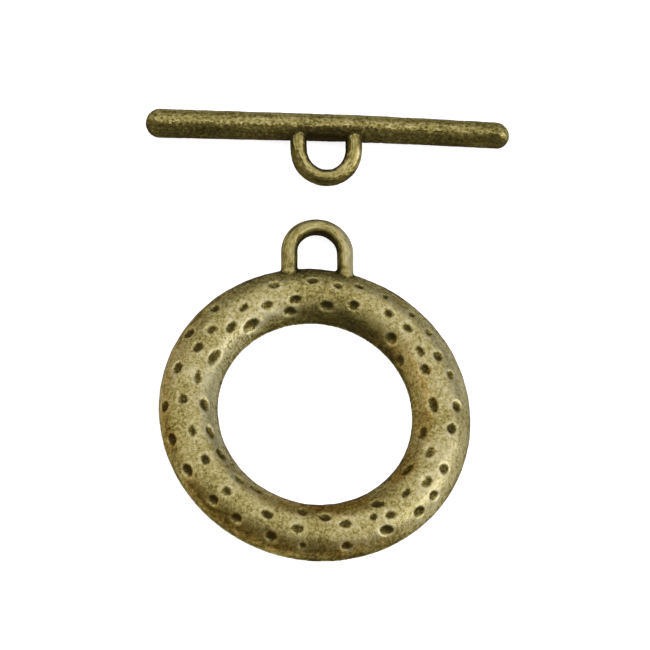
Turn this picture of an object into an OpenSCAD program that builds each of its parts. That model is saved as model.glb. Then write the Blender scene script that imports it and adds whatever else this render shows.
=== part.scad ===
// Two-part toggle clasp for a necklace or bracelet, in antiqued cast metal, laid out open on a table.
// One half is a pitted ring with a wire loop on its rim. The other is a round bar with the same
// loop at its middle. In use the bar goes through the ring and turns across it.
// Millimetres. +Z is up, z = 0 is the table, the origin is the middle of the ring's hole,
// and the ring's loop points along +Y, towards the bar.

/* [Ring] */
// Outer diameter of the ring
ring_d = 30; // [24:0.5:42]
// Width of the ring's band, from its hole to its outer edge
band_w = 5.75; // [4.6:0.05:7]
// Height of the domed band above its flat back
band_h = 2.65; // [2:0.05:2.8]
// Bevel of the edge between the dome and the flat back
back_bevel = 0.15; // [0.05:0.05:0.4]

/* [Loops] */
// Thickness of the wire of both loops
wire_d = 1.6; // [1.2:0.05:1.9]
// Space between the two legs of a loop
loop_gap = 3.8; // [2.6:0.1:5]
// Reach of the ring's loop past the rim
ring_loop_reach = 4.75; // [4.2:0.05:7]
// Reach of the bar's loop past the side of the bar
bar_loop_reach = 4.5; // [4.2:0.05:7]

/* [Bar] */
// Length of the bar over its round ends
bar_l = 35.6; // [28:0.2:50]
// Thickness of the bar at its thick end, on the left
bar_thick_d = 2.8; // [2.5:0.05:3.4]
// Thickness of the bar at its thin end, on the right
bar_thin_d = 2.55; // [2:0.05:3.4]
// Distance of the loop from the middle of the bar, towards the thick end
bar_loop_shift = 0.25; // [0:0.05:1]

/* [Dents] */
// Depth of the deeper dents in the ring's dome
dent_depth = 0.2; // [0.08:0.01:0.3]

/* [Layout] */
// Gap between the ends of the two loops as they lie
halves_gap = 3.95; // [1:0.05:12]
// Sideways offset of the bar's middle from the ring's middle
bar_offset = 1; // [-6:0.1:6]
// Turn of the bar from square to the ring's loop, in degrees
bar_turn = 1.4; // [-8:0.1:8]

/* [Hidden] */
$fn = 96;

ring_r = ring_d / 2;
band_mid_r = ring_r - band_w / 2;
wire_r = wire_d / 2;
bar_thick_r = bar_thick_d / 2;
bar_thin_r = bar_thin_d / 2;

// The band's section is the part above the table of a circle this wide, whose middle is this low
dome_r = band_w / 2;
dome_z = band_h - dome_r;

// Half the width of the flat back
back_half_w = sqrt(dome_r * dome_r - dome_z * dome_z) - back_bevel;

// Radius of a loop's bend at the middle of its wire
loop_bend_r = (loop_gap + wire_d) / 2;
// The ring's loop leaves the rim half way up, and its legs are rooted this share into the band
ring_loop_z = band_h / 2;
root_share = 0.3;
ring_loop_y = ring_r + ring_loop_reach - wire_r - loop_bend_r;

// The bar tapers evenly between its end balls, and is tipped until its lower side lies on the table
bar_taper_l = bar_l - bar_thick_r - bar_thin_r;
bar_tip = atan((bar_thick_r - bar_thin_r) / bar_taper_l);
bar_ball_x = bar_l / 2 - bar_thick_r;
bar_mid_r = bar_thick_r - bar_ball_x * tan(bar_tip);
// Distance from the bar's axis to the middle of the wire at the loop's end
bar_loop_end = bar_mid_r + bar_loop_reach - wire_r;
// The bar's loop droops until the end of it touches the table
bar_loop_droop = asin((bar_mid_r - wire_r) / bar_loop_end);
bar_y = ring_r + ring_loop_reach + halves_gap + wire_r + bar_loop_end * cos(bar_loop_droop);

// The dents in the dome, one row each.
// Bearing in degrees, clockwise round the ring from its loop; lean in degrees, outwards from the
// crown, or inwards if below zero; length along the band and width across it, as shares of band_w;
// turn in degrees, which swings the dent's clockwise end outwards; depth as a share of dent_depth.
BEARING = 0;
LEAN = 1;
LENGTH = 2;
WIDTH = 3;
TURN = 4;
DEPTH = 5;
DENTS = [
    [4.5, -36, 0.21, 0.15, 0, 0.8],
    [8.5, 8, 0.15, 0.12, -10, 0.5],
    [17.5, 20, 0.20, 0.11, 0, 0.4],
    [18, -22, 0.17, 0.15, 0, 1],
    [29, 25, 0.10, 0.13, 40, 0.4],
    [34.5, -5, 0.16, 0.13, 10, 0.9],
    [42, 27, 0.14, 0.16, 0, 0.5],
    [43.5, -40, 0.19, 0.19, 0, 1],
    [45.5, -3, 0.20, 0.11, 15, 0.9],
    [52.5, 27, 0.16, 0.15, 25, 0.5],
    [56, -57, 0.16, 0.18, 30, 0.5],
    [58, -13, 0.21, 0.14, 5, 0.9],
    [63.5, 15, 0.19, 0.17, 15, 0.9],
    [67.5, -21, 0.21, 0.16, 45, 1],
    [73, 25, 0.17, 0.16, 0, 0.8],
    [86.5, -22, 0.27, 0.15, 15, 1],
    [87, 26, 0.20, 0.18, 10, 1],
    [97.5, 16, 0.19, 0.18, 20, 1],
    [101.5, -41, 0.21, 0.18, 0, 0.9],
    [111.5, -13, 0.22, 0.16, -25, 1],
    [115.5, 26, 0.17, 0.18, 0, 0.9],
    [124.5, -36, 0.24, 0.16, -10, 0.5],
    [125, 11, 0.21, 0.17, 0, 1],
    [127, 40, 0.20, 0.16, -45, 1],
    [135.5, -3, 0.20, 0.11, 0, 0.8],
    [136, 42, 0.22, 0.20, -15, 1],
    [147.5, 14, 0.20, 0.13, -30, 0.8],
    [149.5, -17, 0.25, 0.13, -35, 0.7],
    [151.5, 38, 0.25, 0.17, -30, 1],
    [154.5, 3, 0.13, 0.12, 0, 0.7],
    [167.5, 2, 0.20, 0.14, -15, 0.9],
    [168.5, 46, 0.20, 0.18, 0, 0.8],
    [176.5, -15, 0.19, 0.13, -5, 0.7],
    [185.5, 45, 0.13, 0.15, 0, 0.5],
    [187.5, -24, 0.17, 0.18, 0, 0.5],
    [188.5, 14, 0.23, 0.15, 10, 1],
    [198, 42, 0.21, 0.20, 15, 1],
    [203, 5, 0.21, 0.13, 0, 1],
    [213, 40, 0.20, 0.17, 0, 0.9],
    [213.5, -33, 0.24, 0.13, 0, 0.5],
    [223, 11, 0.18, 0.15, 25, 0.8],
    [223.5, -26, 0.20, 0.12, -10, 0.5],
    [224.5, 41, 0.18, 0.17, 15, 0.9],
    [239.5, -32, 0.23, 0.15, 0, 0.9],
    [240, 5, 0.18, 0.14, 0, 1],
    [240, 46, 0.25, 0.19, 0, 0.9],
    [252.5, -31, 0.24, 0.16, 10, 1],
    [254, 51, 0.22, 0.20, 20, 1],
    [254.5, 6, 0.19, 0.14, -5, 0.9],
    [267.5, -28, 0.21, 0.17, 45, 1],
    [268, 58, 0.20, 0.26, 0, 1],
    [269.5, 15, 0.17, 0.18, -20, 0.7],
    [281, -8, 0.25, 0.12, 15, 0.9],
    [283.5, 36, 0.22, 0.19, 0, 1],
    [294, -26, 0.31, 0.16, -15, 1],
    [294.5, 11, 0.20, 0.15, -30, 0.9],
    [299.5, 46, 0.22, 0.24, 0, 0.8],
    [305, 8, 0.19, 0.14, -30, 0.8],
    [312, -17, 0.22, 0.14, 10, 1],
    [314, 35, 0.20, 0.19, 0, 0.5],
    [321.5, -41, 0.28, 0.21, 0, 1],
    [323, -3, 0.18, 0.11, 0, 0.7],
    [333.5, -19, 0.21, 0.15, -20, 0.8],
    [340.5, 15, 0.25, 0.13, -20, 0.5],
    [344.5, -45, 0.20, 0.15, -25, 0.9],
    [348, -23, 0.21, 0.14, 0, 1],
    [357.5, 14, 0.21, 0.11, 0, 0.5],
];
// A dent's tool reaches this many dent depths above the dome
TOOL_REACH = 1.5;

// Radius of the circle that cuts a chord this long at this depth
function chord_r(chord, depth) = (chord * chord / 4 + depth * depth) / (2 * depth);

// Section of the band: a flat-backed dome, bevelled at the edges of the back
module band_section() {
    above = 2 * band_h;
    intersection() {
        translate([0, dome_z]) circle(r = dome_r);
        polygon([
            [-back_half_w, 0],
            [back_half_w, 0],
            [back_half_w + above, above],
            [-back_half_w - above, above],
        ]);
    }
}

// Tool for one dent, at the origin of a flat surface: the rim of a wheel that is sunk to the depth
module dent_tool(length, width, depth) {
    wheel_r = chord_r(length, depth);
    tyre_r = chord_r(width, depth);
    hub_r = wheel_r - (1 + TOOL_REACH) * depth;
    translate([0, 0, wheel_r - depth])
        rotate([90, 0, 0])
            rotate_extrude()
                intersection() {
                    translate([wheel_r - tyre_r, 0]) circle(r = tyre_r);
                    translate([hub_r, -tyre_r]) square([wheel_r, 2 * tyre_r]);
                }
}

// All dent tools, set on the dome
module dents() {
    for (dent = DENTS)
        rotate([0, 0, -dent[BEARING]])
            translate([0, band_mid_r, dome_z])
                rotate([-dent[LEAN], 0, 0])
                    translate([0, 0, dome_r])
                        rotate([0, 0, dent[TURN]])
                            dent_tool(
                                length = dent[LENGTH] * band_w,
                                width = dent[WIDTH] * band_w,
                                depth = dent[DEPTH] * dent_depth
                            );
}

// Wire loop in the XY plane: two legs along +Y from y = 0 and a half-round bend that starts at bend_y
module wire_loop(bend_y) {
    for (side = [-1, 1])
        translate([side * loop_bend_r, 0, 0])
            rotate([-90, 0, 0]) cylinder(r = wire_r, h = bend_y);
    translate([0, bend_y, 0])
        rotate_extrude(angle = 180) translate([loop_bend_r, 0]) circle(r = wire_r);
}

// Ring half: the pitted band with the loop on its rim, one casting
module toggle_ring() {
    root_y = ring_r - root_share * band_w;
    color("#A39A66") {
        difference() {
            rotate_extrude() translate([band_mid_r, 0]) band_section();
            dents();
        }
        translate([0, root_y, ring_loop_z]) wire_loop(bend_y = ring_loop_y - root_y);
    }
}

// Bar half: the round, slightly tapered bar and the loop at its middle, one casting
module toggle_bar() {
    color("#9A9060")
        translate([bar_offset, bar_y, bar_mid_r / cos(bar_tip)])
            rotate([0, bar_tip, bar_turn]) {
                translate([-bar_ball_x, 0, 0]) {
                    sphere(r = bar_thick_r);
                    rotate([0, 90, 0])
                        cylinder(r1 = bar_thick_r, r2 = bar_thin_r, h = bar_taper_l);
                    translate([bar_taper_l, 0, 0]) sphere(r = bar_thin_r);
                }
                translate([-bar_loop_shift, 0, 0])
                    rotate([0, 0, 180])
                        rotate([-bar_loop_droop, 0, 0])
                            wire_loop(bend_y = bar_loop_end - loop_bend_r);
            }
}

toggle_ring();
toggle_bar();
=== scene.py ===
"""Dresses the two halves of a toggle clasp in antiqued metal and lays them on a pale studio floor."""

import math
from types import SimpleNamespace

import bmesh
import bpy
import numpy as np
from bpy.props import FloatProperty
from bpy.props import FloatVectorProperty
from bpy.props import IntProperty
from bpy.props import PointerProperty
from bpy.types import Operator
from bpy.types import Panel
from bpy.types import PropertyGroup
from mathutils import Matrix
from mathutils import Vector
from mathutils import noise


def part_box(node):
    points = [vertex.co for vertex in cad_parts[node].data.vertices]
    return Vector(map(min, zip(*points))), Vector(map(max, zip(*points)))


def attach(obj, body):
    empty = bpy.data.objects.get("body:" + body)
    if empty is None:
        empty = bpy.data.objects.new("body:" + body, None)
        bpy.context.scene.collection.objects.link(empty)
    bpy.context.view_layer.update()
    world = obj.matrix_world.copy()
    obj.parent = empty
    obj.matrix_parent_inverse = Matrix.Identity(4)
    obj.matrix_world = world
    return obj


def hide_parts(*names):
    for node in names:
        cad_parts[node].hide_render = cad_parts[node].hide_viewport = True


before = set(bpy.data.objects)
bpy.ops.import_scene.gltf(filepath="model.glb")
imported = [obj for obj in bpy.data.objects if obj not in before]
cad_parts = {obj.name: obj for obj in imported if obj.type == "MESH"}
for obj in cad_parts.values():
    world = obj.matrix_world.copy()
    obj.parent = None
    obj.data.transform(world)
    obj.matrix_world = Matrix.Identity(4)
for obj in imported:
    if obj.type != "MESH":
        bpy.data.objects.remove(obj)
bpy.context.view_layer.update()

bl_info = {
    "name": "Toggle Clasp Finish",
    "version": (1, 0, 0),
    "blender": (4, 5, 0),
    "location": "View3D > Sidebar > Toggle Clasp",
    "description": "Antiqued metal for a toggle clasp, and the studio that shows it",
    "category": "Object",
}

MM = 0.001
BODY = "root"

# What the solids themselves say about the two castings
ring_low, ring_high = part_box("toggle_ring")
bar_low, bar_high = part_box("toggle_bar")
RING_RADIUS = (ring_high.x - ring_low.x) / 2
BAND_HEIGHT = ring_high.z

# A pair below gives where something starts and where it is full, unless its comment says otherwise.
# X is to the right, Y away from the camera and Z up.

# Points of a solid's mesh that lie closer than this are one
MERGE_REACH = 0.0005 * MM
# Share of the way to its neighbours' mean that a point goes in one pass of smoothing
SMOOTHING_STEP = 0.5

# Share of the bow that the bar's middle moves outwards, while its ends move inwards by the rest
BOW_AT_MIDDLE = 0.6
# Start and length of the bar's sag in halves of the bar, whose thick end is at -1
SAG_START = 0.1
SAG_LENGTH = 1.25
# Turn of the loop's roots, by the distance from the loop's middle and by that from the bar's axis
LIFT_ALONG = (5.5 * MM, 3.6 * MM)
LIFT_OUT = (4.6 * MM, 1.2 * MM)

# How far apart the noises of two seeds lie
SEED_STEPS = (7.3, 3.1, 5.7)
# Bumps of the slow unevenness: the broad ones, and the smaller ones with their share
RIPPLE_SIZE = 1.6 * MM
SMALL_RIPPLE_SIZE = 0.7 * MM
SMALL_RIPPLE_SHARE = 0.5
# Fine crinkles: their size on each casting, and the shares of plain bumps and of winding ridges
RING_CRINKLE_SIZE = 0.45 * MM
BAR_CRINKLE_SIZE = 0.4 * MM
BUMP_SHARE = 0.5
RIDGE_SHARE = 0.6
# Size of the winding ridges, as a share of the crinkles', and how steeply their sides fall
RIDGE_SIZE = 1.2
RIDGE_FALL = 2.5
# Height above the table at which the unevenness is full
TABLE_FADE = 0.3 * MM

# Height above the table at which the ring's dome starts
DOME_START = 0.25 * MM
# Share of a dent's own depth that is kept, and the depths over which its steep wall falls, where
# depths are shares of a deep dent's
DENT_KEPT = 0.8
WALL_DEPTHS = (0.02, 0.35)
# Passes that carry a dent over its rim, first for its walls and then for its darkness
WALL_SPREAD = 2
DARK_SPREAD = 1
# Raggedness of the edge of a dent's darkness
RAGGED_EDGE = 0.4
RAGGED_SIZE = 0.35 * MM
# Depths over which a dent darkens at its rim and on its floor, and how much it does
RIM_DEPTHS = (0.01, 0.3)
RIM_DARKNESS = 0.4
FLOOR_DEPTHS = (0.2, 1)
FLOOR_DARKNESS = 0.65
# Darkness of a level spot in a dent, and the painted shade that a tilt towards the shaded near side adds at
# most
LEVEL_DARKNESS = 0.85
DENT_TILT_SHADE = 0.4
FULL_TILT = 0.4
# Darkness of the dents from place to place: its mean, its swing and the size of the places
PLACE_DARKNESS = 0.85
PLACE_SWING = 0.5
PLACE_SIZE = 2.5 * MM

# A spot is on a wire if it is within this many wire thicknesses of the wire's middle line
ON_WIRE = 0.55
# Facing of a loop's inner side, and how far down its legs it is marked, in radii of its bend
INNER_FACING = (0.25, 0.85)
INNER_LEGS = 1.2
# Distances are taken to be at least this long where something is divided by them
LEAST_DISTANCE = 0.01 * MM
# How far the grain follows the legs of the loops, and how slowly its places run along the wire
RING_LEGS = 1.9 * MM
BAR_LEGS = 1.1 * MM
ALONG_WIRE = 0.22
# Reach of the patina round the roots of the loops, and the share of it where the patina is full
RING_ROOT_REACH = 6.5 * MM
BAR_ROOT_REACH = 4 * MM
ROOT_CORE = 0.3
# The bar's skin is marked from this far in front of the root, where it faces the ring
ROOT_MARGIN = 0.2 * MM
TOWARDS_RING = (0.1, 0.6)

# The near side of both castings, which gets painted shade
SHADED_NEAR_SIDE = (-0.33, -0.94, 0)
# The far side of both castings, where the ring gets painted shade and the bar's mottle is calmer
FAR_SIDE = (0.15, 0.95, 0)
# The side on which a greyer painted sheen stands for the reflection of the right softbox
SHEEN_SIDE = (0.9, -0.3, 0)

# Patterns in the metal: patches, brown patches, streaks of polishing and pits
PATCH_SIZE = 3.5 * MM
BROWN_PATCH_SIZE = 6 * MM
STREAK_SIZE = 0.5 * MM
STREAK_STRETCH = 10
PIT_SIZE = 0.28 * MM
PIT_NOISE = (0.72, 0.84)
# Size of the specks, as a share of the grain's
SPECK_SIZE = 0.45
# Mean of a noise
MEAN_NOISE = 0.5
# Offset of the patterns along X and Y from one seed to the next
PATTERN_STEPS = (0.01, 0.02)

# How ragged the grain makes the shelter's border, and how much less a wire counts as sheltered
SHELTER_RAGGED = 0.5
WIRE_SHELTER = -0.06
# Upward facing of the skin that leans, which gets patina and painted shade, and of the edge down to the
# table, which gets painted shade
LEAN_FACING = (0.8, 0.4)
EDGE_FACING = (0.45, 0.05)
# Facing of the far side, which gets painted shade, and the share of it that still counts on the wall of the
# hole
BACK_FACING = (0.3, 0.8)
BACK_WALL = (0, 0.7)
BACK_WALL_SHARE = 0.4
# Facings of the deepest painted shade, on the wall of the hole
DEEP_FACING = (0.65, 0.85)
DEEP_WALL = (0, 0.8)
# Facings of the steep outer wall at the left, which gets painted light
STEEP_WALL = (-0.84, -0.94)
LEFT_FACING = (0.3, -0.3)
# How far skin faces right at a full tilt to the left, and at one to the right. Skin that faces right gets
# painted light, and skin that faces left painted shade
TILT_FACING = (-0.3, 0.3)
# The near end of the ring, which gets painted shade, its right flank, which gets painted light, and the
# left leg of its loop, which is made darker
NEAR_PLACE = (-6 * MM, -12 * MM)
FLANK_PLACE = (2 * MM, 10 * MM)
FLANK_FACING = (-0.05, 0.3)
LEFT_LEG_PLACE = (-0.6 * MM, -2 * MM)

# Contrast of the grain, the specks and the pits, and how much the shelter and a wire change it
GRAIN_CONTRAST = 0.9
SPECK_CONTRAST = 0.5
PIT_CONTRAST = -0.12
SHELTER_CONTRAST = -0.3
WIRE_CONTRAST = -0.12
# What each kind of spot adds to the wear. The lean adds patina and painted shade, the dents add patina with
# painted shade on their near-facing sides, the near end and the deep wall add painted shade, and the steep
# wall adds painted light
STREAK_WEAR = 0.4
HOLLOW_WEAR = -0.35
DENT_WEAR = -0.27
LEAN_PATINA_AND_SHADE = -0.1
NEAR_END_SHADE = -0.045
DEEP_SHADE = -0.12
STEEP_WALL_LIGHT = 0.17
INSIDE_WEAR = -0.35
ROOT_WEAR = -0.11
# Wear of the hollows, the dark patina, the worn metal and the pale metal
COLOUR_STOPS = (0.1, 0.35, 0.6, 0.95)

# Facing and wear of the painted sheen
SHEEN_FACING = (0.14, 0.38)
SHEEN_WEAR = (0.45, 0.7)
# It fades to this share from left to right, and where the noise of the specks is low
FADED_SHEEN = 0.45
SHEEN_PLACE = (-9 * MM, 9 * MM)
SHEEN_SPECK = (0.38, 0.6)

# Noise of the brown patches, and the upward facings at which they are full and gone
BROWN_NOISE = (0.3, 0.54)
BROWN_LEAN = (0.55, 0.97)
# The wall of the hole counts as leaning by this much more, and by this much again at its near end
INNER_WALL = (0, 1)
INNER_LEAN = -0.42
NEAR_WALL = (0.1, 0.3)
NEAR_LEAN = -0.11
# Upward facing of the brown skin, which leaves out the foot of the walls
ABOVE_TABLE = (0.1, 0.5)
# Left-facing skin of the ring's far half is less brown
FAR_HALF = (-4 * MM, 2 * MM)
SPARED_FACING = (-0.45, -0.7)
SPARED_BROWN = -0.4

# Wear of the dullest and the shiniest metal, and what they add to the casting's roughness
SHINE_WEAR = (0.1, 0.9)
DULL_ROUGHNESS = 0.12
SHINY_ROUGHNESS = -0.05
# Shares of the grain and the specks in the skin's relief
GRAIN_RELIEF = 0.7
SPECK_RELIEF = 0.3

# How the patina, the rubbing and the painted shade and light lie on each casting. A wear, shade, light or
# darkening is what a kind of spot adds to the sum of wear and painted light, and a contrast what it adds to
# the contrast of the mottle. The sheltered facings, the edge, shelter and far side shades are painted
# shade, the tilt and flank add painted light, the border glint contrast raises the mottle at the border of
# the painted shade into painted glints, and the sheen share is that of the painted sheen. The drift is how
# much less the skin counts as facing the brown side, for each metre farther away.
RING_LOOK = SimpleNamespace(
    seed=1,
    wear_level=0.345,
    patch_wear=0.5,
    edge_shade=-0.3,
    shelter_shade=-0.12,
    far_side_shade=-0.19,
    tilt_light_and_shade=0.035,
    flank_light=0.05,
    left_leg_darkening=-0.13,
    sheltered=(0.45, 0.75),
    border_glint_contrast=0,
    back_contrast=0,
    sheen_share=0.7,
    brown_share=1.0,
    brown_side=(-1, 0, 0),
    brown_range=(-0.1, 0.4),
    brown_drift=0.5 / (12 * MM),
    grain_size=0.3 * MM,
    grain_stretch=1.0,
    grain_height=0.012 * MM,
    roughness=0.45,
)
BAR_LOOK = SimpleNamespace(
    seed=2,
    wear_level=0.29,
    patch_wear=0.35,
    edge_shade=-0.03,
    shelter_shade=-0.22,
    far_side_shade=0,
    tilt_light_and_shade=0,
    flank_light=0,
    left_leg_darkening=0,
    sheltered=(0.18, 0.38),
    border_glint_contrast=5.5,
    back_contrast=-0.4,
    sheen_share=0.1,
    brown_share=0.45,
    brown_side=(-1.6, 0, -0.6),
    brown_range=(-0.5, 0.5),
    brown_drift=0,
    grain_size=0.3 * MM,
    grain_stretch=1.6,
    grain_height=0.026 * MM,
    roughness=0.4,
)

# Floor: half its width, how far it lies under the table plane, and its roughness
FLOOR_HALF = 1.5
FLOOR_DROP = 0.02 * MM
FLOOR_ROUGHNESS = 0.9
# Camera: its sensor in millimetres, and the nearest and farthest that it sees
SENSOR_WIDTH = 36
NEAREST = 0.01
FARTHEST = 10
# Lights: each one's place, as the camera sees the table, and its width and height
ROOF_PLACE = (0, 0.32, 0.8)
ROOF_SIZE = (3.6, 1.6)
LEFT_BOX_PLACE = (-0.75, -0.3, 0.35)
LEFT_BOX_SIZE = (0.9, 0.5)
RIGHT_BOX_PLACE = (0.75, 0.05, 0.42)
RIGHT_BOX_SIZE = (0.6, 0.5)


class ClaspShape(PropertyGroup):
    """Sizes of the skin that the two castings get."""

    ring_cell: FloatProperty(
        name="Ring cell",
        description="Size of the cells of the ring's skin",
        default=0.106 * MM,
        unit="LENGTH",
        precision=6,
    )
    bar_cell: FloatProperty(
        name="Bar cell",
        description="Size of the cells of the bar's skin",
        default=0.085 * MM,
        unit="LENGTH",
        precision=6,
    )
    back_trim: FloatProperty(
        name="Back trim",
        description="Height at which the ring's flat back is cut off and closed again",
        default=0.04 * MM,
        unit="LENGTH",
        precision=6,
    )
    band_width: FloatProperty(
        name="Band width",
        description="Width of the ring's band, from its hole to its outer edge",
        default=5.75 * MM,
        unit="LENGTH",
        precision=6,
    )
    wire: FloatProperty(
        name="Loop wire",
        description="Thickness of the wire of both loops",
        default=1.6 * MM,
        unit="LENGTH",
        precision=6,
    )
    loop_bend: FloatProperty(
        name="Loop bend",
        description="Radius of a loop's bend at the middle of its wire",
        default=2.7 * MM,
        unit="LENGTH",
        precision=6,
    )
    bar_loop_shift: FloatProperty(
        name="Bar loop shift",
        description="Distance of the bar's loop from the middle of the bar, towards the thick end",
        default=0.25 * MM,
        unit="LENGTH",
        precision=6,
    )
    bar_bow: FloatProperty(
        name="Bar bow",
        description="How far the middle of the bar bows away from the ring, past its ends",
        default=0.2 * MM,
        unit="LENGTH",
        precision=6,
    )
    bar_sag: FloatProperty(
        name="Bar sag",
        description="How much nearer the ring the thick half of the bar lies than an even bow would put it",
        default=0.09 * MM,
        unit="LENGTH",
        precision=6,
    )
    bar_turn: FloatProperty(
        name="Bar turn",
        description="Turn of the bar from square to the ring's loop",
        default=math.radians(1.4),
        unit="ROTATION",
    )
    bar_thickness: FloatProperty(
        name="Bar thickness",
        description="Thickness of the bar at its loop",
        default=2.68 * MM,
        unit="LENGTH",
        precision=6,
    )
    bar_reach: FloatProperty(
        name="Bar reach",
        description="Distance of the bar's axis from the end of its loop",
        default=5.81 * MM,
        unit="LENGTH",
        precision=6,
    )
    root_lift: FloatProperty(
        name="Root lift",
        description="Turn about the bar that carries the roots of its loop up its side",
        default=math.radians(12.5),
        unit="ROTATION",
    )
    dent_depth: FloatProperty(
        name="Dent depth",
        description="Depth of the deeper dents in the ring's dome",
        default=0.2 * MM,
        unit="LENGTH",
        precision=6,
    )
    dent_wall: FloatProperty(
        name="Dent wall",
        description="Height of the steep wall round a dent, as a share of the dent's depth",
        default=0.35,
        min=0,
        max=1,
    )
    soft_passes: IntProperty(
        name="Softening",
        description="Passes that round the rims of the dents and the feet of the loops",
        default=3,
        min=0,
        max=20,
    )
    hollow_passes: IntProperty(
        name="Hollow reach",
        description="Passes of the heavy smoothing that tells the hollows from the high spots",
        default=12,
        min=1,
        max=60,
    )
    hollow_depth: FloatProperty(
        name="Hollow depth",
        description="Depth at which a hollow is wholly dark",
        default=0.04 * MM,
        unit="LENGTH",
        precision=6,
    )
    ring_ripple: FloatProperty(
        name="Ring unevenness",
        description="Height of the slow unevenness of the ring's cast skin",
        default=0.04 * MM,
        unit="LENGTH",
        precision=6,
    )
    bar_ripple: FloatProperty(
        name="Bar unevenness",
        description="Height of the slow unevenness of the bar's cast skin",
        default=0.025 * MM,
        unit="LENGTH",
        precision=6,
    )
    ring_crinkle: FloatProperty(
        name="Ring crinkle",
        description="Height of the fine crinkles in the ring's cast skin",
        default=0.006 * MM,
        unit="LENGTH",
        precision=6,
    )
    bar_crinkle: FloatProperty(
        name="Bar crinkle",
        description="Height of the fine crinkles in the bar's cast skin",
        default=0.024 * MM,
        unit="LENGTH",
        precision=6,
    )


class ClaspFinish(PropertyGroup):
    """Colours of the antiqued metal, from its darkest hollows to its rubbed high spots."""

    hollow_colour: FloatVectorProperty(
        name="Hollows",
        description="Patina that is left in the dents and crevices",
        default=(0.034, 0.0262, 0.0082),
        subtype="COLOR",
        min=0,
        max=1,
    )
    dark_colour: FloatVectorProperty(
        name="Dark patina",
        description="Patina on the parts that little has rubbed",
        default=(0.091, 0.072, 0.0185),
        subtype="COLOR",
        min=0,
        max=1,
    )
    worn_colour: FloatVectorProperty(
        name="Worn metal",
        description="Olive gold of the rubbed metal",
        default=(0.268, 0.2245, 0.0765),
        subtype="COLOR",
        min=0,
        max=1,
    )
    pale_colour: FloatVectorProperty(
        name="Pale metal",
        description="Pale gold of the highest spots and rims",
        default=(0.46, 0.415, 0.26),
        subtype="COLOR",
        min=0,
        max=1,
    )
    edge_tint: FloatVectorProperty(
        name="Edge tint",
        description="Colour of what the metal reflects at a glancing angle",
        default=(0.35, 0.36, 0.45),
        subtype="COLOR",
        min=0,
        max=1,
    )
    # A painted sheen: greyer colour that stands for the whitish reflection of the right softbox
    sheen_colour: FloatVectorProperty(
        name="Painted sheen",
        description="Greyer colour of the painted sheen on rubbed skin that faces right",
        default=(0.34, 0.32, 0.21),
        subtype="COLOR",
        min=0,
        max=1,
    )
    brown_bloom: FloatVectorProperty(
        name="Brown bloom",
        description="Warm tint that the sides take on in patches",
        default=(0.88, 0.69, 0.45),
        subtype="COLOR",
        min=0,
        max=1,
    )


class ClaspStage(PropertyGroup):
    """Floor, lights and camera."""

    floor_colour: FloatVectorProperty(
        name="Floor",
        description="Colour of the pale floor",
        default=(0.5, 0.5, 0.5),
        subtype="COLOR",
        min=0,
        max=1,
    )
    floor_glow: FloatProperty(
        name="Floor glow",
        description="Light that the floor gives off by itself, which keeps it white",
        default=0.8,
        min=0,
    )
    room_light: FloatProperty(
        name="Room light",
        description="Brightness of the room round the table",
        default=0.34,
        min=0,
    )
    roof_light: FloatProperty(
        name="Roof light",
        description="Brightness of the tent roof",
        default=1.22,
        min=0,
    )
    left_light: FloatProperty(
        name="Left light",
        description="Brightness of the softbox at the left",
        default=1.1,
        min=0,
    )
    right_light: FloatProperty(
        name="Right light",
        description="Brightness of the softbox at the right",
        default=2.8,
        min=0,
    )
    azimuth: FloatProperty(
        name="Azimuth",
        description="How far the camera stands to the left of straight in front of the ring",
        default=math.radians(18.9),
        unit="ROTATION",
    )
    elevation: FloatProperty(
        name="Elevation",
        description="Height of the camera above the floor, as an angle",
        default=math.radians(66.8),
        unit="ROTATION",
    )
    swing: FloatProperty(
        name="Swing",
        description="Turn of the whole view about the middle of the ring",
        default=math.radians(1.7),
        unit="ROTATION",
    )
    distance: FloatProperty(
        name="Distance",
        description="From the camera to the middle of the ring",
        default=0.5134,
        unit="LENGTH",
    )
    lens: FloatProperty(
        name="Lens",
        description="Focal length in millimetres on a sensor 36 mm wide",
        default=298.7,
    )
    framing: FloatVectorProperty(
        name="Framing",
        description="Middle of the picture from the middle of the ring, right and up",
        default=(0.975 * MM, 8.551 * MM),
        size=2,
        unit="LENGTH",
        precision=6,
    )


def copy_of_solid(node, name):
    """A new object that holds the solid's own mesh, with its loose triangles joined."""
    shell = bmesh.new()
    shell.from_mesh(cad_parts[node].data)
    bmesh.ops.remove_doubles(shell, verts=shell.verts, dist=MERGE_REACH)
    mesh = bpy.data.meshes.new(name)
    shell.to_mesh(mesh)
    shell.free()
    piece = bpy.data.objects.new(name, mesh)
    bpy.context.scene.collection.objects.link(piece)
    return piece


def apply_modifiers(piece):
    """Makes what the piece's modifiers show its own mesh."""
    graph = bpy.context.evaluated_depsgraph_get()
    shown = bpy.data.meshes.new_from_object(piece.evaluated_get(graph))
    piece.modifiers.clear()
    before = piece.data
    piece.data = shown
    bpy.data.meshes.remove(before)
    piece.data.name = piece.name


def even_skin(piece, cell):
    """Rebuilds the piece in even cells, small enough to hold its dents and crinkles.

    It works in millimetres, because the cells of the modifier can't be a tenth of one in metres."""
    piece.data.transform(Matrix.Scale(1 / MM, 4))
    skin = piece.modifiers.new("Even skin", "REMESH")
    skin.mode = "VOXEL"
    skin.voxel_size = cell / MM
    skin.use_smooth_shade = True
    apply_modifiers(piece)
    piece.data.transform(Matrix.Scale(MM, 4))


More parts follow.
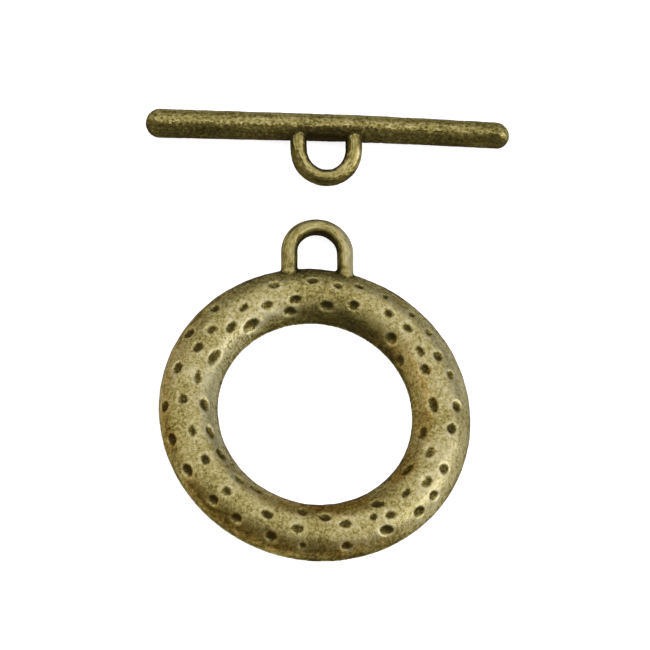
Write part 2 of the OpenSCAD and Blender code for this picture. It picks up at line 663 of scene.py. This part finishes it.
def close_back(piece, trim):
    """Cuts the flat back off just above the table, and closes it again with one plain ring of faces."""
    shell = bmesh.new()
    shell.from_mesh(piece.data)
    everything = shell.verts[:] + shell.edges[:] + shell.faces[:]
    bmesh.ops.bisect_plane(
        shell,
        geom=everything,
        plane_co=(0, 0, trim),
        plane_no=(0, 0, 1),
        clear_inner=True,
    )
    rims = [edge for edge in shell.edges if edge.is_boundary]
    for vert in {vert for edge in rims for vert in edge.verts}:
        vert.co.z = 0
    back = bmesh.ops.bridge_loops(shell, edges=rims)["faces"]
    for face in back:
        face.smooth = False
    for edge in rims:
        edge.smooth = False
    bmesh.ops.triangulate(shell, faces=back)
    bmesh.ops.recalc_face_normals(shell, faces=shell.faces)
    shell.to_mesh(piece.data)
    shell.free()


def points_of(mesh):
    """The mesh's points as rows of x, y and z."""
    points = np.empty(len(mesh.vertices) * 3, np.float32)
    mesh.vertices.foreach_get("co", points)
    return points.reshape(-1, 3)


def normals_of(mesh):
    """The directions in which the mesh's points face."""
    normals = np.empty(len(mesh.vertices) * 3, np.float32)
    mesh.vertex_normals.foreach_get("vector", normals)
    return normals.reshape(-1, 3)


def set_points(mesh, points):
    """Moves the mesh's points."""
    mesh.vertices.foreach_set("co", np.ascontiguousarray(points, np.float32).ravel())
    mesh.update()


def smoothstep(values, low, high):
    """From 0 at low to 1 at high, with soft ends."""
    share = np.clip((values - low) / (high - low), 0, 1)
    return share * share * (3 - 2 * share)


def smoothed(mesh, passes):
    """The mesh's points after this many passes of smoothing, with the mesh as it was."""
    shell = bmesh.new()
    shell.from_mesh(mesh)
    for _ in range(passes):
        bmesh.ops.smooth_vert(
            shell,
            verts=shell.verts,
            factor=SMOOTHING_STEP,
            use_axis_x=True,
            use_axis_y=True,
            use_axis_z=True,
        )
    points = np.array([vert.co for vert in shell.verts], np.float32)
    shell.free()
    return points


def soften(piece, passes):
    """Rounds sharp rims and creases a little, as casting and polishing do."""
    set_points(piece.data, smoothed(piece.data, passes))


def bow_bar(piece, shape):
    """Bows the bar a little, middle away from the ring and ends towards it, and leaves its loop's end."""
    points = points_of(piece.data)
    middle = (bar_low.x + bar_high.x) / 2
    half_length = (bar_high.x - bar_low.x) / 2
    along = (points[:, 0] - middle) / half_length
    stays = smoothstep(points[:, 1], bar_low.y + shape.wire, bar_high.y - 2 * shape.wire)
    sag = shape.bar_sag * np.sin(math.pi * np.clip((SAG_START - along) / SAG_LENGTH, 0, 1))
    points[:, 1] += (shape.bar_bow * (BOW_AT_MIDDLE - along * along) - sag) * stays
    set_points(piece.data, points)


def lift_roots(piece, middle, shape):
    """Turns the bar about its own axis where its loop is, so that the loop's legs start higher on it.

    The turn fades away along the bar and along the legs, and the loop's end stays on the table."""
    points = points_of(piece.data)
    sideways = points[:, 0] - middle
    axis_y = bar_low.y + shape.bar_reach + sideways * math.tan(shape.bar_turn)
    axis_z = shape.bar_thickness / 2
    out = points[:, 1] - axis_y
    above = points[:, 2] - axis_z
    near_legs = smoothstep(np.abs(sideways), *LIFT_ALONG)
    near_bar = smoothstep(np.hypot(out, above), *LIFT_OUT)
    angle = -shape.root_lift * near_legs * near_bar
    points[:, 1] = axis_y + out * np.cos(angle) - above * np.sin(angle)
    points[:, 2] = axis_z + out * np.sin(angle) + above * np.cos(angle)
    set_points(piece.data, points)


def noise_at(points, size, seed):
    """Smooth noise from -1 to 1 at each point, whose bumps are about this size."""
    offset = Vector([seed * step for step in SEED_STEPS])
    return np.array([noise.noise(Vector(point) / size + offset) for point in points])


def roughen(piece, ripple, crinkle, crinkle_size, seed):
    """Gives the skin its slow unevenness and its fine crinkles, none of them under the table."""
    mesh = piece.data
    points = points_of(mesh)
    broad = noise_at(points, RIPPLE_SIZE, seed)
    slow = broad + SMALL_RIPPLE_SHARE * noise_at(points, SMALL_RIPPLE_SIZE, seed + 1)
    bumps = noise_at(points, crinkle_size, seed + 2)
    ridges = 1 - RIDGE_FALL * np.abs(noise_at(points, crinkle_size * RIDGE_SIZE, seed + 3))
    height = ripple * slow + crinkle * (BUMP_SHARE * bumps + RIDGE_SHARE * ridges)
    near_table = np.clip(points[:, 2] / TABLE_FADE, 0, 1)
    points += normals_of(mesh) * (height * near_table)[:, None]
    points[:, 2] = np.maximum(points[:, 2], 0)
    set_points(mesh, points)


def keep_mask(mesh, name, values):
    """Stores one number for each point, for the materials to read."""
    mask = mesh.attributes.new(name, "FLOAT", "POINT")
    mask.data.foreach_set("value", np.ascontiguousarray(values, np.float32))


def keep_places(mesh, name, places):
    """Stores one place for each point, for the materials to read."""
    mask = mesh.attributes.new(name, "FLOAT_VECTOR", "POINT")
    mask.data.foreach_set("vector", np.ascontiguousarray(places, np.float32).ravel())


def mark_hollows(piece, passes, depth):
    """Marks hollows above zero and high spots below zero, by how far heavy smoothing moves them."""
    mesh = piece.data
    rise = (smoothed(mesh, passes) - points_of(mesh)) * normals_of(mesh)
    keep_mask(mesh, "hollow", np.clip(rise.sum(axis=1) / depth, -1, 1))


def mark_loop(piece, centre, legs, shape):
    """Marks the inner side of a wire loop, which a polishing wheel can't reach.

    The centre is the middle of the loop's bend, and its legs run from it along +Y or -Y."""
    mesh = piece.data
    points = points_of(mesh)[:, :2]
    normals = normals_of(mesh)[:, :2]
    middle = np.array([[centre[0], centre[1]]], np.float32).repeat(len(points), axis=0)
    along_legs = (points[:, 1] - centre[1]) * legs > 0
    middle[along_legs, 1] = points[along_legs, 1]
    inward = middle - points
    distance = np.maximum(np.hypot(inward[:, 0], inward[:, 1]), LEAST_DISTANCE)
    facing = (normals * inward).sum(axis=1) / distance
    in_reach = distance < shape.loop_bend + ON_WIRE * shape.wire
    before_root = (points[:, 1] - centre[1]) * legs < shape.loop_bend * INNER_LEGS
    keep_mask(mesh, "inside", smoothstep(facing, *INNER_FACING) * in_reach * before_root)


def follow_wire(piece, centre, legs, leg_length, shape):
    """Gives the grain its own places, which run along the loop's wire and elsewhere are the points' own.

    The centre is the middle of the loop's bend, and its legs run from it along +Y or -Y."""
    mesh = piece.data
    places = points_of(mesh)
    sideways = places[:, 0] - centre[0]
    down_legs = (places[:, 1] - centre[1]) * legs
    from_middle = np.where(down_legs > 0, np.abs(sideways), np.hypot(sideways, down_legs))
    turned = np.arctan2(sideways, np.maximum(-down_legs, 0)) * shape.loop_bend
    along = turned + np.sign(sideways) * np.maximum(down_legs, 0)
    off_line = from_middle - shape.loop_bend
    on_wire = (np.abs(off_line) < ON_WIRE * shape.wire) & (down_legs < leg_length)
    lines = np.stack([along * ALONG_WIRE, off_line, places[:, 2]], axis=1)
    keep_places(mesh, "lines", np.where(on_wire[:, None], lines, places))
    keep_mask(mesh, "wire", on_wire)


def mark_walls(piece):
    """Marks how far the ring's skin faces the middle of its hole, or away from it if below zero."""
    mesh = piece.data
    places = points_of(mesh)[:, :2]
    inward = -(places * normals_of(mesh)[:, :2]).sum(axis=1)
    keep_mask(mesh, "inward", inward / np.hypot(places[:, 0], places[:, 1]))


def mark_root(piece, root, reach, part):
    """Marks this part of the skin round the root of a loop, where a polishing wheel hardly gets in."""
    mesh = piece.data
    away = points_of(mesh)[:, :2] - np.array(root)
    near_root = smoothstep(np.hypot(away[:, 0], away[:, 1]), reach, ROOT_CORE * reach)
    keep_mask(mesh, "root", near_root * part)


def dome_of(points, shape):
    """Each point's depth below the ring's dome, as a share of a deep dent, and its way out of the dome."""
    dome_radius = shape.band_width / 2
    reach = np.hypot(points[:, 0], points[:, 1])
    across = reach - (RING_RADIUS - dome_radius)
    above = points[:, 2] - (BAND_HEIGHT - dome_radius)
    rise = np.hypot(across, above)
    on_dome = (points[:, 2] > DOME_START) & (np.abs(across) < dome_radius)
    depth = np.clip((dome_radius - rise) / shape.dent_depth, 0, 1) * on_dome
    slope = across / rise / reach
    way_out = np.stack([points[:, 0] * slope, points[:, 1] * slope, above / rise], axis=1)
    return depth, way_out


def spread(mesh, values, passes):
    """Lets each point take the mean of itself and its neighbours' highest value, pass after pass."""
    ends = np.empty(len(mesh.edges) * 2, np.int32)
    mesh.edges.foreach_get("vertices", ends)
    first, second = ends.reshape(-1, 2).T
    for _ in range(passes):
        highest = values.copy()
        np.maximum.at(highest, first, values[second])
        np.maximum.at(highest, second, values[first])
        values = (values + highest) / 2
    return values


def steepen_dents(piece, shape):
    """Gives the dents the short steep walls and the flatter floors of a punched mark."""
    mesh = piece.data
    points = points_of(mesh)
    depth, way_out = dome_of(points, shape)
    carried = spread(mesh, depth, WALL_SPREAD)
    steep = DENT_KEPT * depth + shape.dent_wall * smoothstep(carried, *WALL_DEPTHS)
    points += way_out * ((depth - steep) * shape.dent_depth)[:, None]
    set_points(mesh, points)
    mark_dents(mesh, points, carried, way_out)


def mark_dents(mesh, points, depth, way_out):
    """Marks how dark the patina in the dents is, by their depth and their place, and adds painted shade on
    the sides that face the near side.
    """
    edge = 1 + RAGGED_EDGE * noise_at(points, RAGGED_SIZE, seed=9)
    ragged = spread(mesh, depth, DARK_SPREAD) * edge
    rim = RIM_DARKNESS * smoothstep(ragged, *RIM_DEPTHS)
    floor = FLOOR_DARKNESS * smoothstep(ragged, *FLOOR_DEPTHS)
    tilt = (normals_of(mesh) - way_out) @ np.array(SHADED_NEAR_SIDE)
    shade_by_side = LEVEL_DARKNESS + DENT_TILT_SHADE * np.clip(tilt / FULL_TILT, -1, 1)
    by_place = PLACE_DARKNESS + PLACE_SWING * noise_at(points, PLACE_SIZE, seed=5)
    keep_mask(mesh, "dent", (rim + floor) * shade_by_side * by_place)


def add_node(tree, kind, inputs, **settings):
    """Adds a shader node, with a value or a link for each input, and gives its first output."""
    node = tree.nodes.new(kind)
    for name, value in settings.items():
        setattr(node, name, value)
    for name, value in inputs.items():
        if isinstance(value, bpy.types.NodeSocket):
            tree.links.new(value, node.inputs[name])
        else:
            node.inputs[name].default_value = value
    return node.outputs[0]


def add_noise(tree, place, size, detail=2.0, roughness=0.5):
    """Noise whose bumps are about this size, from 0 to 1."""
    inputs = {"Vector": place, "Scale": 1 / size, "Detail": detail, "Roughness": roughness}
    return add_node(tree, "ShaderNodeTexNoise", inputs)


def add_stretch(tree, places, stretch):
    """Places on which a pattern is this many times as long along X."""
    return add_node(tree, "ShaderNodeMapping", {"Vector": places, "Scale": (1 / stretch, 1, 1)})


def add_mask(tree, name):
    """A number that the mesh stores for each of its points."""
    node = tree.nodes.new("ShaderNodeAttribute")
    node.attribute_name = name
    return node.outputs["Fac"]


def add_range(tree, value, low, high, to_low=0.0, to_high=1.0):
    """Turns low to high into to_low to to_high, smoothly and no further."""
    inputs = {
        "Value": value,
        "From Min": low,
        "From Max": high,
        "To Min": to_low,
        "To Max": to_high,
    }
    return add_node(tree, "ShaderNodeMapRange", inputs, interpolation_type="SMOOTHSTEP")


def add_sum(tree, start, *terms):
    """Start plus each term's value times its share."""
    total = start
    for value, share in terms:
        inputs = {0: value, 1: share, 2: total}
        total = add_node(tree, "ShaderNodeMath", inputs, operation="MULTIPLY_ADD")
    return total


def add_product(tree, first, *others):
    """One value times the others."""
    product = first
    for value in others:
        product = add_node(tree, "ShaderNodeMath", {0: product, 1: value}, operation="MULTIPLY")
    return product


def add_facing(tree, normal, side):
    """How far the surface faces this side, from -1 to 1 if the side's length is 1."""
    inputs = {0: normal, 1: side}
    vector = add_node(tree, "ShaderNodeVectorMath", inputs, operation="DOT_PRODUCT")
    return vector.node.outputs["Value"]


def add_ramp(tree, value, stops):
    """Colours along a value, one (place, colour) for each stop."""
    node = tree.nodes.new("ShaderNodeValToRGB")
    tree.links.new(value, node.inputs["Fac"])
    marks = node.color_ramp.elements
    while len(marks) < len(stops):
        marks.new(1.0)
    for mark, (place, colour) in zip(marks, stops):
        mark.position = place
        mark.color = (*colour, 1)
    return node.outputs["Color"]


def add_mix(tree, share, first, second, blend="MIX"):
    """First colour to second, or to their blend, by the share."""
    node = tree.nodes.new("ShaderNodeMix")
    node.data_type = "RGBA"
    node.blend_type = blend
    tree.links.new(share, node.inputs["Factor"])
    for name, colour in (("A", first), ("B", second)):
        socket = next(s for s in node.inputs if s.name == name and s.type == "RGBA")
        if isinstance(colour, bpy.types.NodeSocket):
            tree.links.new(colour, socket)
        else:
            socket.default_value = (*colour, 1)
    return next(s for s in node.outputs if s.type == "RGBA")


def read_skin(tree, seed):
    """What the mesh says of each spot of the skin: its place, the way that it faces, and its marks."""
    coordinates = tree.nodes.new("ShaderNodeTexCoord").outputs["Object"]
    normal = tree.nodes.new("ShaderNodeNewGeometry").outputs["Normal"]
    spot = add_node(tree, "ShaderNodeSeparateXYZ", {0: coordinates}).node.outputs
    facing = add_node(tree, "ShaderNodeSeparateXYZ", {0: normal}).node.outputs
    offset = (seed * PATTERN_STEPS[0], seed * PATTERN_STEPS[1], 0)
    return SimpleNamespace(
        place=add_node(tree, "ShaderNodeMapping", {"Vector": coordinates, "Location": offset}),
        place_x=spot["X"],
        place_y=spot["Y"],
        normal=normal,
        facing_x=facing["X"],
        facing_z=facing["Z"],
        hollow=add_mask(tree, "hollow"),
        dent=add_mask(tree, "dent"),
        inside=add_mask(tree, "inside"),
        root=add_mask(tree, "root"),
        inward=add_mask(tree, "inward"),
        wire=add_mask(tree, "wire"),
        lines=add_mask(tree, "lines").node.outputs["Vector"],
    )


def grow_grain(tree, skin, look):
    """Gives the skin its fine patterns: grain, specks, pits and the streaks of polishing."""
    drawn = add_stretch(tree, skin.lines, look.grain_stretch)
    skin.grain = add_noise(tree, drawn, look.grain_size, detail=3, roughness=0.6)
    skin.speck = add_noise(tree, drawn, look.grain_size * SPECK_SIZE, detail=1)
    skin.pits = add_range(tree, add_noise(tree, skin.place, PIT_SIZE, detail=0), *PIT_NOISE)
    lengthwise = add_stretch(tree, skin.lines, STREAK_STRETCH)
    skin.streak = add_noise(tree, lengthwise, STREAK_SIZE, detail=2)


def find_shaded_side(tree, skin, look):
    """Finds the side of the casting that gets painted shade, the border of that shade, where the bar's
    mottle becomes painted glints, and the deepest painted shade on the wall of the ring's hole.
    """
    towards = add_facing(tree, skin.normal, SHADED_NEAR_SIDE)
    ragged = add_sum(
        tree,
        -MEAN_NOISE * SHELTER_RAGGED,
        (skin.grain, SHELTER_RAGGED),
        (towards, 1.0),
        (skin.wire, WIRE_SHELTER),
    )
    skin.shelter = add_range(tree, ragged, *look.sheltered)
    skin.border = add_product(tree, skin.shelter, add_sum(tree, 1.0, (skin.shelter, -1.0)))
    wall = add_range(tree, skin.inward, *DEEP_WALL)
    skin.deep = add_product(tree, add_range(tree, towards, *DEEP_FACING), wall)


def find_sides(tree, skin):
    """Finds the other sides and places that are darker or lighter than the rest. The leaning walls get
    patina and painted shade; the edge down to the table, the far side and the near end get painted shade;
    the steep left wall, the right flank and skin that faces right get painted light; the left leg of the
    ring's loop is made darker.
    """
    skin.lean = add_range(tree, skin.facing_z, *LEAN_FACING)
    skin.edge = add_range(tree, skin.facing_z, *EDGE_FACING)
    skin.tilt = add_range(tree, skin.facing_x, *TILT_FACING, -1, 1)
    far_side = add_range(tree, add_facing(tree, skin.normal, FAR_SIDE), *BACK_FACING)
    skin.back = add_product(tree, far_side, add_range(tree, skin.inward, *BACK_WALL, 1, BACK_WALL_SHARE))
    outer_wall = add_range(tree, skin.inward, *STEEP_WALL)
    skin.steep = add_product(tree, outer_wall, add_range(tree, skin.facing_x, *LEFT_FACING))
    skin.near = add_range(tree, skin.place_y, *NEAR_PLACE)
    at_right = add_range(tree, skin.place_x, *FLANK_PLACE)
    skin.flank = add_product(tree, at_right, add_range(tree, skin.facing_x, *FLANK_FACING))
    skin.left_leg = add_product(tree, skin.wire, add_range(tree, skin.place_x, *LEFT_LEG_PLACE))


def add_wear_and_painted_light(tree, skin, look):
    """How far each spot is rubbed, from about 0 in a dark hollow to about 1 on a pale rim, together with
    the painted shade and painted light of the sides and places found above.
    """
    mottle = add_sum(
        tree,
        -MEAN_NOISE * (GRAIN_CONTRAST + SPECK_CONTRAST),
        (skin.grain, GRAIN_CONTRAST),
        (skin.speck, SPECK_CONTRAST),
        (skin.pits, PIT_CONTRAST),
    )
    contrast = add_sum(
        tree,
        1.0,
        (skin.shelter, SHELTER_CONTRAST),
        (skin.wire, WIRE_CONTRAST),
        (skin.border, look.border_glint_contrast),
        (skin.back, look.back_contrast),
    )
    streaked = add_node(tree, "ShaderNodeMath", {0: skin.shelter, 1: skin.wire}, operation="MAXIMUM")
    streaks = add_product(tree, add_sum(tree, -MEAN_NOISE, (skin.streak, 1.0)), streaked)
    patches = add_noise(tree, skin.place, PATCH_SIZE, detail=3, roughness=0.6)
    return add_sum(
        tree,
        look.wear_level,
        (mottle, contrast),
        (streaks, STREAK_WEAR),
        (patches, look.patch_wear),
        (skin.hollow, HOLLOW_WEAR),
        (skin.dent, DENT_WEAR),
        (skin.lean, LEAN_PATINA_AND_SHADE),
        (skin.edge, look.edge_shade),
        (skin.shelter, look.shelter_shade),
        (skin.back, look.far_side_shade),
        (skin.near, NEAR_END_SHADE),
        (skin.deep, DEEP_SHADE),
        (skin.steep, STEEP_WALL_LIGHT),
        (skin.tilt, look.tilt_light_and_shade),
        (skin.flank, look.flank_light),
        (skin.inside, INSIDE_WEAR),
        (skin.root, ROOT_WEAR),
        (skin.left_leg, look.left_leg_darkening),
    )


def add_painted_sheen(tree, skin, wear_and_painted_light, look):
    """Share of the painted greyish sheen at each spot, on rubbed skin of its side and less of it at the
    right.
    """
    side = add_facing(tree, skin.normal, SHEEN_SIDE)
    return add_product(
        tree,
        add_range(tree, side, *SHEEN_FACING, 0, look.sheen_share),
        add_range(tree, wear_and_painted_light, *SHEEN_WEAR),
        add_range(tree, skin.place_x, *SHEEN_PLACE, 1, FADED_SHEEN),
        add_range(tree, skin.speck, *SHEEN_SPECK, FADED_SHEEN, 1),
    )


def add_brown(tree, skin, look):
    """Share of the brown bloom at each spot, in patches on the walls of the side that turned brown."""
    patches = add_noise(tree, skin.place, BROWN_PATCH_SIZE, detail=4, roughness=0.65)
    inner_wall = add_range(tree, skin.inward, *INNER_WALL)
    near_wall = add_product(tree, skin.near, add_range(tree, skin.inward, *NEAR_WALL))
    upward = add_sum(tree, skin.facing_z, (inner_wall, INNER_LEAN), (near_wall, NEAR_LEAN))
    side = add_facing(tree, skin.normal, look.brown_side)
    brown_place = add_sum(tree, side, (skin.place_y, -look.brown_drift))
    far_half = add_range(tree, skin.place_y, *FAR_HALF)
    spared = add_product(tree, add_range(tree, skin.facing_x, *SPARED_FACING), far_half)
    return add_product(
        tree,
        add_range(tree, patches, *BROWN_NOISE),
        add_range(tree, upward, *BROWN_LEAN, look.brown_share, 0),
        add_range(tree, skin.facing_z, *ABOVE_TABLE),
        add_sum(tree, 1.0, (spared, SPARED_BROWN)),
        add_range(tree, brown_place, *look.brown_range),
    )


def antique_metal(name, finish, look):
    """Cast metal with a dark patina in its hollows and a rubbed olive gold on its high spots, with painted
    shade, painted light and a painted sheen on some sides.
    """
    material = bpy.data.materials.new(name)
    material.use_nodes = True
    tree = material.node_tree
    shader = tree.nodes["Principled BSDF"]
    skin = read_skin(tree, look.seed)
    grow_grain(tree, skin, look)
    find_shaded_side(tree, skin, look)
    find_sides(tree, skin)
    wear_and_painted_light = add_wear_and_painted_light(tree, skin, look)
    colours = (finish.hollow_colour, finish.dark_colour, finish.worn_colour, finish.pale_colour)
    metal = add_ramp(tree, wear_and_painted_light, list(zip(COLOUR_STOPS, colours)))
    metal = add_mix(tree, add_painted_sheen(tree, skin, wear_and_painted_light, look), metal, finish.sheen_colour)
    brown = add_brown(tree, skin, look)
    colour = add_mix(tree, brown, metal, finish.brown_bloom, blend="MULTIPLY")
    tree.links.new(colour, shader.inputs["Base Color"])
    dull = look.roughness + DULL_ROUGHNESS
    shiny = look.roughness + SHINY_ROUGHNESS
    tree.links.new(add_range(tree, wear_and_painted_light, *SHINE_WEAR, dull, shiny), shader.inputs["Roughness"])
    shader.inputs["Metallic"].default_value = 1.0
    shader.inputs["Specular Tint"].default_value = (*finish.edge_tint, 1)
    relief = add_sum(tree, 0.0, (skin.grain, GRAIN_RELIEF), (skin.speck, SPECK_RELIEF))
    inputs = {"Height": relief, "Distance": look.grain_height, "Strength": 1.0}
    tree.links.new(add_node(tree, "ShaderNodeBump", inputs), shader.inputs["Normal"])
    return material


def finish_piece(piece, node, material):
    """Gives the piece its metal, lets it stand for its solid, and seats it on the body."""
    piece.data.materials.clear()
    piece.data.materials.append(material)
    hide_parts(node)
    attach(piece, BODY)


class CLASP_OT_ring(Operator):
    """Dress the pitted ring and its wire loop, one casting"""

    bl_idname = "clasp.ring"
    bl_label = "Pitted Ring"

    def execute(self, context):
        shape = context.scene.clasp_shape
        piece = copy_of_solid("toggle_ring", "pitted_ring")
        even_skin(piece, shape.ring_cell)
        close_back(piece, shape.back_trim)
        steepen_dents(piece, shape)
        soften(piece, shape.soft_passes)
        roughen(piece, shape.ring_ripple, shape.ring_crinkle, RING_CRINKLE_SIZE, RING_LOOK.seed)
        mark_hollows(piece, shape.hollow_passes, shape.hollow_depth)
        bend = (0, ring_high.y - shape.wire / 2 - shape.loop_bend)
        mark_loop(piece, bend, legs=-1, shape=shape)
        follow_wire(piece, bend, legs=-1, leg_length=RING_LEGS, shape=shape)
        places = points_of(piece.data)
        on_band = np.hypot(places[:, 0], places[:, 1]) < RING_RADIUS
        mark_root(piece, (0, RING_RADIUS), RING_ROOT_REACH, on_band)
        mark_walls(piece)
        metal = antique_metal("Antique ring metal", context.scene.clasp_finish, RING_LOOK)
        finish_piece(piece, "toggle_ring", metal)
        return {"FINISHED"}


class CLASP_OT_bar(Operator):
    """Dress the toggle bar and its wire loop, one casting"""

    bl_idname = "clasp.bar"
    bl_label = "Toggle Bar"

    def execute(self, context):
        shape = context.scene.clasp_shape
        piece = copy_of_solid("toggle_bar", "crossing_bar")
        even_skin(piece, shape.bar_cell)
        soften(piece, shape.soft_passes)
        middle = (bar_low.x + bar_high.x) / 2 - shape.bar_loop_shift
        lift_roots(piece, middle, shape)
        bow_bar(piece, shape)
        roughen(piece, shape.bar_ripple, shape.bar_crinkle, BAR_CRINKLE_SIZE, BAR_LOOK.seed)
        mark_hollows(piece, shape.hollow_passes, shape.hollow_depth)
        bend = (middle, bar_low.y + shape.wire / 2 + shape.loop_bend)
        mark_loop(piece, bend, legs=1, shape=shape)
        follow_wire(piece, bend, legs=1, leg_length=BAR_LEGS, shape=shape)
        root = (middle, bend[1] + BAR_LEGS)
        on_bar = points_of(piece.data)[:, 1] > root[1] - ROOT_MARGIN
        towards_ring = smoothstep(-normals_of(piece.data)[:, 1], *TOWARDS_RING)
        mark_root(piece, root, BAR_ROOT_REACH, on_bar * towards_ring)
        metal = antique_metal("Antique bar metal", context.scene.clasp_finish, BAR_LOOK)
        finish_piece(piece, "toggle_bar", metal)
        return {"FINISHED"}


def make_floor(stage):
    """A plain pale floor, just under the table plane."""
    shell = bmesh.new()
    bmesh.ops.create_grid(
        shell,
        x_segments=1,
        y_segments=1,
        size=FLOOR_HALF,
        matrix=Matrix.Translation((0, 0, -FLOOR_DROP)),
    )
    mesh = bpy.data.meshes.new("pale_floor")
    shell.to_mesh(mesh)
    shell.free()
    floor = bpy.data.objects.new("pale_floor", mesh)
    bpy.context.scene.collection.objects.link(floor)
    material = bpy.data.materials.new("Pale floor")
    material.use_nodes = True
    shader = material.node_tree.nodes["Principled BSDF"]
    shader.inputs["Base Color"].default_value = (*stage.floor_colour, 1)
    shader.inputs["Roughness"].default_value = FLOOR_ROUGHNESS
    shader.inputs["Emission Color"].default_value = (1, 1, 1, 1)
    shader.inputs["Emission Strength"].default_value = stage.floor_glow
    mesh.materials.append(material)


def picture_axes(stage):
    """The picture's right, up and backward directions, where backward points to the camera.

    The camera is rolled by its azimuth, which brings the ring's loop nearly upright in the picture."""
    turn = stage.azimuth
    near = Vector((-math.sin(turn), -math.cos(turn), 0))
    right = Vector((math.cos(turn), -math.sin(turn), 0))
    backward = near * math.cos(stage.elevation) + Vector((0, 0, math.sin(stage.elevation)))
    up = backward.cross(right)
    rolled_right = right * math.cos(turn) + up * math.sin(turn)
    rolled_up = up * math.cos(turn) - right * math.sin(turn)
    swing = Matrix.Rotation(stage.swing, 3, "Z")
    return swing @ rolled_right, swing @ rolled_up, swing @ backward


def place_camera(stage):
    """The camera at the photograph's angle to the clasp, at its distance and with its framing."""
    right, up, backward = picture_axes(stage)
    place = backward * stage.distance
    target = right * stage.framing[0] + up * stage.framing[1]
    out = (place - target).normalized()
    side = (right - out * right.dot(out)).normalized()
    turn = Matrix((side, out.cross(side), out)).transposed()
    data = bpy.data.cameras.new("Studio camera")
    data.sensor_width = SENSOR_WIDTH
    data.lens = stage.lens
    data.clip_start = NEAREST
    data.clip_end = FARTHEST
    camera = bpy.data.objects.new("Studio camera", data)
    camera.matrix_world = Matrix.Translation(place) @ turn.to_4x4()
    bpy.context.scene.collection.objects.link(camera)
    bpy.context.scene.camera = camera


def add_softbox(name, place, facing, size, brightness, turn):
    """A soft rectangular light, set out as the camera sees the table."""
    data = bpy.data.lights.new(name, "AREA")
    data.shape = "RECTANGLE"
    data.size = size[0]
    data.size_y = size[1]
    data.energy = brightness * math.pi * size[0] * size[1]
    light = bpy.data.objects.new(name, data)
    light.visible_camera = False
    back = -Vector(facing)
    aim = back.to_track_quat("Z", "Y").to_matrix().to_4x4()
    light.matrix_world = turn @ Matrix.Translation(place) @ aim
    bpy.context.scene.collection.objects.link(light)


def light_studio(stage):
    """A broad tent roof overhead, a softbox at each side, and a dim room."""
    world = bpy.data.worlds.new("Studio room")
    world.use_nodes = True
    background = world.node_tree.nodes["Background"]
    background.inputs["Color"].default_value = (1, 1, 1, 1)
    background.inputs["Strength"].default_value = stage.room_light
    bpy.context.scene.world = world
    turn = Matrix.Rotation(-stage.azimuth, 4, "Z")
    from_left = -Vector(LEFT_BOX_PLACE)
    from_right = -Vector(RIGHT_BOX_PLACE)
    add_softbox("Tent roof", ROOF_PLACE, (0, 0, -1), ROOF_SIZE, stage.roof_light, turn)
    add_softbox("Left softbox", LEFT_BOX_PLACE, from_left, LEFT_BOX_SIZE, stage.left_light, turn)
    add_softbox("Right softbox", RIGHT_BOX_PLACE, from_right, RIGHT_BOX_SIZE, stage.right_light, turn)


class CLASP_OT_stage(Operator):
    """Set out the pale floor, the studio lights and the camera"""

    bl_idname = "clasp.stage"
    bl_label = "Studio Stage"

    def execute(self, context):
        stage = context.scene.clasp_stage
        make_floor(stage)
        light_studio(stage)
        place_camera(stage)
        context.scene.view_settings.view_transform = "Standard"
        return {"FINISHED"}


class CLASP_PT_sidebar(Panel):
    """Lists the clasp's pieces and its stage"""

    bl_label = "Toggle Clasp"
    bl_space_type = "VIEW_3D"
    bl_region_type = "UI"
    bl_category = "Toggle Clasp"

    def draw(self, context):
        for operator in (CLASP_OT_ring, CLASP_OT_bar, CLASP_OT_stage):
            self.layout.operator(operator.bl_idname)


CLASSES = (
    ClaspShape,
    ClaspFinish,
    ClaspStage,
    CLASP_OT_ring,
    CLASP_OT_bar,
    CLASP_OT_stage,
    CLASP_PT_sidebar,
)


def register():
    for item in CLASSES:
        bpy.utils.register_class(item)
    bpy.types.Scene.clasp_shape = PointerProperty(type=ClaspShape)
    bpy.types.Scene.clasp_finish = PointerProperty(type=ClaspFinish)
    bpy.types.Scene.clasp_stage = PointerProperty(type=ClaspStage)


def unregister():
    del bpy.types.Scene.clasp_stage
    del bpy.types.Scene.clasp_finish
    del bpy.types.Scene.clasp_shape
    for item in reversed(CLASSES):
        bpy.utils.unregister_class(item)


def main():
    register()
    bpy.ops.clasp.ring()
    bpy.ops.clasp.bar()
    bpy.ops.clasp.stage()


if __name__ == "__main__":
    main()
